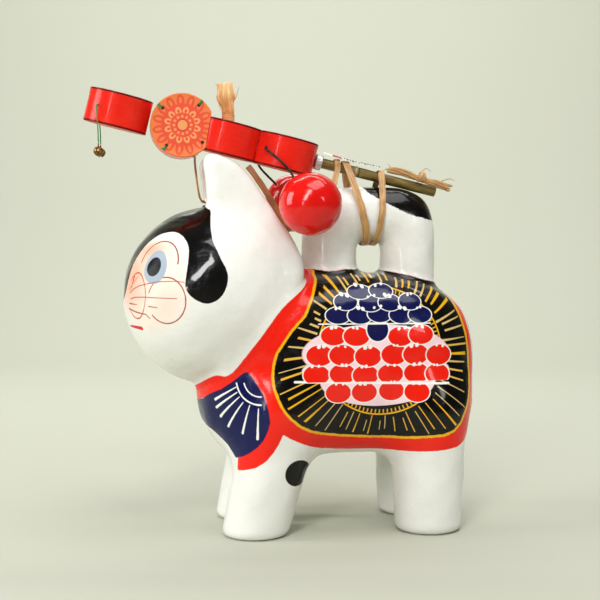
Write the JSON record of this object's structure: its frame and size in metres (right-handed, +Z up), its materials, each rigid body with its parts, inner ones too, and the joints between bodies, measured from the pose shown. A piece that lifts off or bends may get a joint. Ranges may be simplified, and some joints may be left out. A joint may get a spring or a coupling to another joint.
{
  "type": "papier-mache toy dog with drum rattle",
  "caption": "Lacquered papier-mache toy dog with tall ears and an arched tail, carrying a pellet-drum rattle on a bamboo stick, tied on with raffia.",
  "frame": {"origin": "on the ground under the middle of the whole part's box, measured without the cords", "axes": "+Z up, -X the way the dog faces, +X toward its rump, -Y its left side"},
  "size_m": [0.2316, 0.1078, 0.2648],
  "materials": {
    "white_lacquer": "lacquered, hand painted",
    "red_lacquer": "glossy lacquer",
    "drum_paper": "printed paper",
    "paper": "plain paper",
    "bamboo": "smooth skin",
    "black_cord": "twisted cord",
    "green_thread": "twisted thread",
    "bronze": "dull bronze",
    "raffia": "dry fibre"
  },
  "bodies": {
    "root": {"dog": "white_lacquer", "first_drum_shell": "red_lacquer", "first_drum_upper_head": "drum_paper", "first_drum_lower_head": "drum_paper", "second_drum_shell": "red_lacquer", "second_drum_upper_head": "drum_paper", "second_drum_lower_head": "drum_paper", "third_drum_shell": "red_lacquer", "third_drum_upper_head": "drum_paper", "third_drum_lower_head": "drum_paper", "fourth_drum_shell": "red_lacquer", "fourth_drum_upper_head": "drum_paper", "fourth_drum_lower_head": "drum_paper", "stick_collar": "paper", "bamboo_stick": "bamboo", "near_ball_cord": "black_cord", "far_ball_cord": "black_cord", "near_bell_thread": "green_thread", "far_bell_thread": "green_thread", "near_ball": "red_lacquer", "far_ball": "red_lacquer", "near_bell": "bronze", "far_bell": "bronze", "raffia_bow": "raffia", "ear_tie_front": "raffia", "ear_tie_rear": "raffia", "tail_tie_front": "raffia", "tail_tie_rear": "raffia", "tail_tie_end": "raffia", "raffia_bundle": "raffia", "paper_slip": "paper"}
  },
  "joints": []
}
